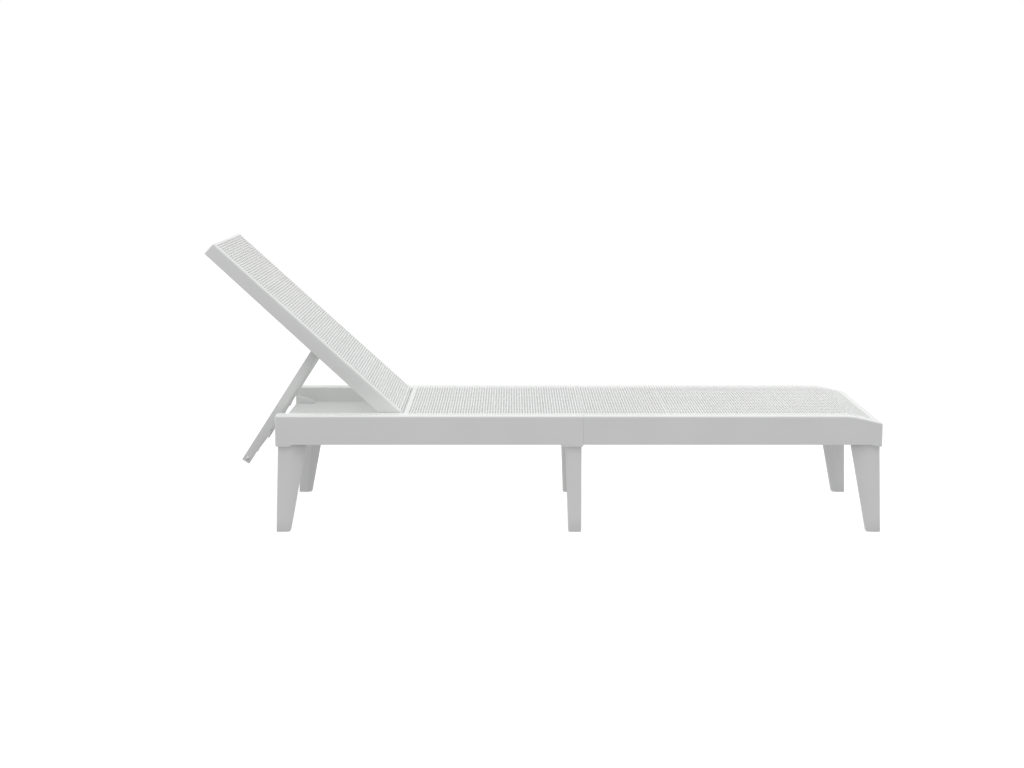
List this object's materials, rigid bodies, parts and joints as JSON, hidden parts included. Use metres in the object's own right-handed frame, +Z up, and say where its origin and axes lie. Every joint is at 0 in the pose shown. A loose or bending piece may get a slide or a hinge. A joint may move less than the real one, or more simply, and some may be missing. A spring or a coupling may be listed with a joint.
{
  "type": "reclining sun lounger",
  "caption": "Moulded plastic sun lounger: slotted seat deck on tapered legs with a hinged backrest that a folding U-shaped prop holds up.",
  "frame": {"origin": "bottom centre of the lounger's box with the backrest raised, on the floor", "axes": "+X towards the foot end, +Y to the lying person's left, +Z up"},
  "size_m": [1.7296, 0.58, 0.7374],
  "materials": {
    "frame_plastic": "satin white moulded polypropylene",
    "leg_plastic": "satin white moulded polypropylene",
    "backrest_plastic": "satin white moulded polypropylene",
    "prop_plastic": "satin white moulded polypropylene, slightly greyer",
    "zinc_steel": "zinc plated"
  },
  "bodies": {
    "frame": {"frame_head_half": "frame_plastic", "frame_foot_half": "frame_plastic", "leg_head_right": "leg_plastic", "leg_head_left": "leg_plastic", "leg_middle_right": "leg_plastic", "leg_middle_left": "leg_plastic", "leg_foot_right": "leg_plastic", "leg_foot_left": "leg_plastic", "leg_screw_head_right": "zinc_steel", "leg_screw_head_left": "zinc_steel", "leg_screw_middle_right": "zinc_steel", "leg_screw_middle_left": "zinc_steel", "leg_screw_foot_right": "zinc_steel", "leg_screw_foot_left": "zinc_steel", "frame_bolt_1": "zinc_steel", "frame_bolt_2": "zinc_steel", "frame_bolt_3": "zinc_steel", "frame_bolt_4": "zinc_steel", "frame_nut_1": "zinc_steel", "frame_nut_2": "zinc_steel", "frame_nut_3": "zinc_steel", "frame_nut_4": "zinc_steel"},
    "backrest": {"backrest_panel": "backrest_plastic", "hinge_pin_right": "zinc_steel", "hinge_pin_left": "zinc_steel", "prop_pivot_pin_right": "zinc_steel", "prop_pivot_pin_left": "zinc_steel"},
    "prop": {"prop_arm_right": "prop_plastic", "prop_arm_left": "prop_plastic", "prop_tie_bar": "prop_plastic", "prop_screw_right": "zinc_steel", "prop_screw_left": "zinc_steel"}
  },
  "joints": [
    {"name": "backrest_hinge", "type": "hinge", "parent": "frame", "child": "backrest", "pos_m": [-0.38515, 0, 0.288], "axis": [0, 1, 0], "range_deg": [-42.4, 0]},
    {"name": "prop_hinge", "type": "hinge", "parent": "backrest", "child": "prop", "pos_m": [-0.57626, 0, 0.47334], "axis": [0, 1, 0], "range_deg": [0, 99.6]}
  ],
  "couplings": [
    {"joint": "prop_hinge", "follows": "backrest_hinge", "ratio": -2.349}
  ]
}
